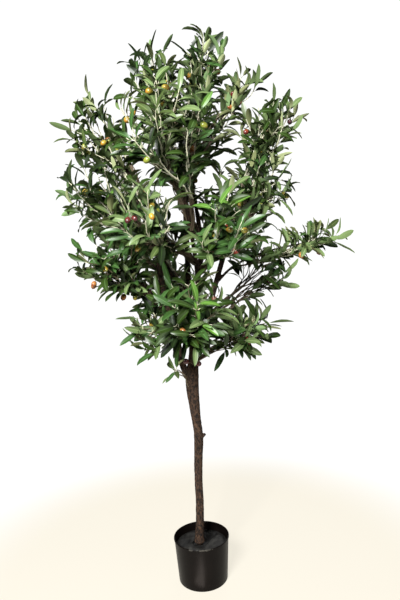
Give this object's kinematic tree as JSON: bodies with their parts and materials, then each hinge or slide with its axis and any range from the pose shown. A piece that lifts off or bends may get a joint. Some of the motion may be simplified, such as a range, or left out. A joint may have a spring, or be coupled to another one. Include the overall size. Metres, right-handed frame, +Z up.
{
  "type": "artificial potted olive tree",
  "caption": "Artificial olive tree in a small round black pot: a slender bare trunk forking into upright boughs under an egg-shaped, open mass of foliage.",
  "frame": {"origin": "centre of the pot's flat underside", "axes": "+Z up along the trunk, +X to the right seen from the front, -Y towards the front"},
  "size_m": [0.927, 0.6822, 1.796],
  "materials": {
    "pot_plastic": "moulded black plastic with a satin sheen",
    "filling": "rough dark-grey cast cement",
    "bark": "rough dark-brown bark",
    "foliage": "coated green cloth leaves with a soft gloss"
  },
  "bodies": {
    "root": {"pot": "pot_plastic", "pot_filling": "filling", "trunk": "bark", "left_bough": "bark", "right_bough": "bark", "centre_bough": "bark", "back_left_bough": "bark", "front_bough": "bark", "back_bough": "bark", "top_left_tuft_branch": "bark", "top_right_tuft_branch": "bark", "left_mass_branch": "bark", "right_mass_branch": "bark", "back_right_mass_branch": "bark", "front_mass_branch": "bark", "front_right_mass_branch": "bark", "low_left_mass_branch": "bark", "right_tip_pad_branch": "bark", "low_right_mass_branch": "bark", "low_front_mass_branch": "bark", "low_back_mass_branch": "bark", "skirt_right_mass_branch": "bark", "top_tuft": "foliage", "top_left_tuft": "foliage", "top_right_tuft": "foliage", "left_shoulder": "foliage", "right_shoulder": "foliage", "upper_front_mass": "foliage", "upper_back_mass": "foliage", "left_mass": "foliage", "back_left_mass": "foliage", "right_mass": "foliage", "back_right_mass": "foliage", "front_mass": "foliage", "front_right_mass": "foliage", "low_left_mass": "foliage", "right_tip_pad": "foliage", "low_right_mass": "foliage", "low_front_mass": "foliage", "low_back_mass": "foliage", "skirt_left_mass": "foliage", "skirt_right_mass": "foliage", "skirt_low_tuft": "foliage"}
  },
  "joints": []
}
